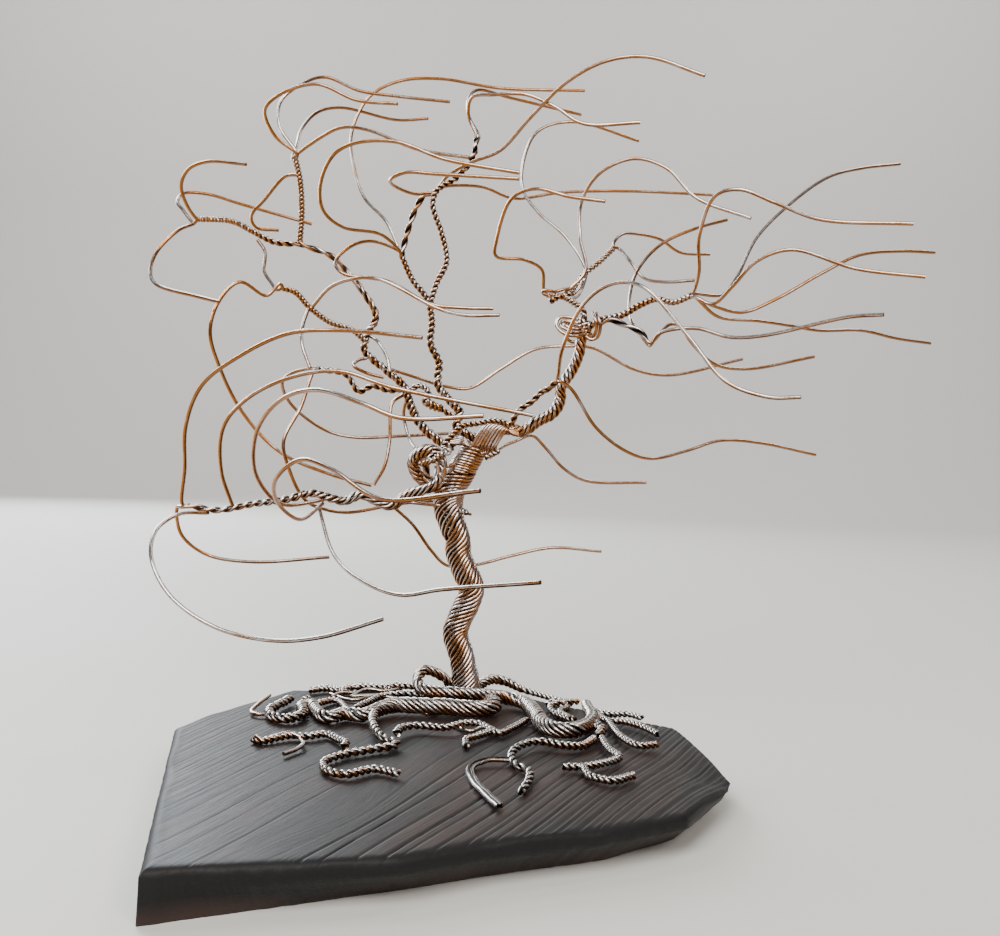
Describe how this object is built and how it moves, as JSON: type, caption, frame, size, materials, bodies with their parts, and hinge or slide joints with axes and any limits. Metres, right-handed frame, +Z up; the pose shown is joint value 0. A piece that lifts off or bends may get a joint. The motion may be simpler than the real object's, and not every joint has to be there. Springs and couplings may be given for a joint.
{
  "type": "wire tree sculpture",
  "caption": "Windswept bare tree twisted from steel wire: trunk, limbs and streaming twigs, with twisted roots spread over a thin charred wooden board that it stands on.",
  "frame": {"origin": "on the flat underside of the board, below its middle", "axes": "+Z up along the tree, +X to the side that the wind blows the twigs to, +Y towards the edge that the trunk stands near"},
  "size_m": [0.2632, 0.2016, 0.2295],
  "materials": {
    "charred_pine": "burnt with a flame, brushed and lacquered, satin",
    "steel_wire": "drawn soft steel wire, bare, bright with a warm tarnish"
  },
  "bodies": {
    "root": {"wood_base": "charred_pine", "inner_left_twig": "steel_wire", "inner_left_wire": "steel_wire", "left_branch": "steel_wire", "left_hook_twig": "steel_wire", "left_hook_wire": "steel_wire", "left_limb": "steel_wire", "left_limb_wire": "steel_wire", "left_top_wire_1": "steel_wire", "left_top_wire_2": "steel_wire", "left_top_wire_3": "steel_wire", "left_top_wire_4": "steel_wire", "left_upright_twig": "steel_wire", "left_wire_1": "steel_wire", "left_wire_2": "steel_wire", "lower_branch": "steel_wire", "lower_wire_1": "steel_wire", "lower_wire_2": "steel_wire", "lower_wire_3": "steel_wire", "lower_wire_4": "steel_wire", "lower_wire_5": "steel_wire", "lower_wire_6": "steel_wire", "lower_wire_7": "steel_wire", "middle_limb": "steel_wire", "middle_short_twig": "steel_wire", "middle_tall_twig": "steel_wire", "middle_wire_1": "steel_wire", "middle_wire_2": "steel_wire", "middle_wire_3": "steel_wire", "right_back_twig": "steel_wire", "right_back_wire_1": "steel_wire", "right_back_wire_2": "steel_wire", "right_fine_twig": "steel_wire", "right_limb": "steel_wire", "right_low_wire": "steel_wire", "right_lower_twig": "steel_wire", "right_lower_wire_1": "steel_wire", "right_lower_wire_2": "steel_wire", "right_open_twist": "steel_wire", "right_open_wire": "steel_wire", "right_outer_twig": "steel_wire", "right_outer_wire_1": "steel_wire", "right_outer_wire_2": "steel_wire", "right_outer_wire_3": "steel_wire", "right_outer_wire_4": "steel_wire", "root_back_right": "steel_wire", "root_front": "steel_wire", "root_left": "steel_wire", "root_left_back": "steel_wire", "root_left_middle": "steel_wire", "root_middle": "steel_wire", "root_near_left": "steel_wire", "root_near_left_fork": "steel_wire", "root_near_right": "steel_wire", "root_near_right_fork": "steel_wire", "root_right_fan": "steel_wire", "root_right_loop": "steel_wire", "trunk": "steel_wire", "trunk_top_twist": "steel_wire"}
  },
  "joints": []
}
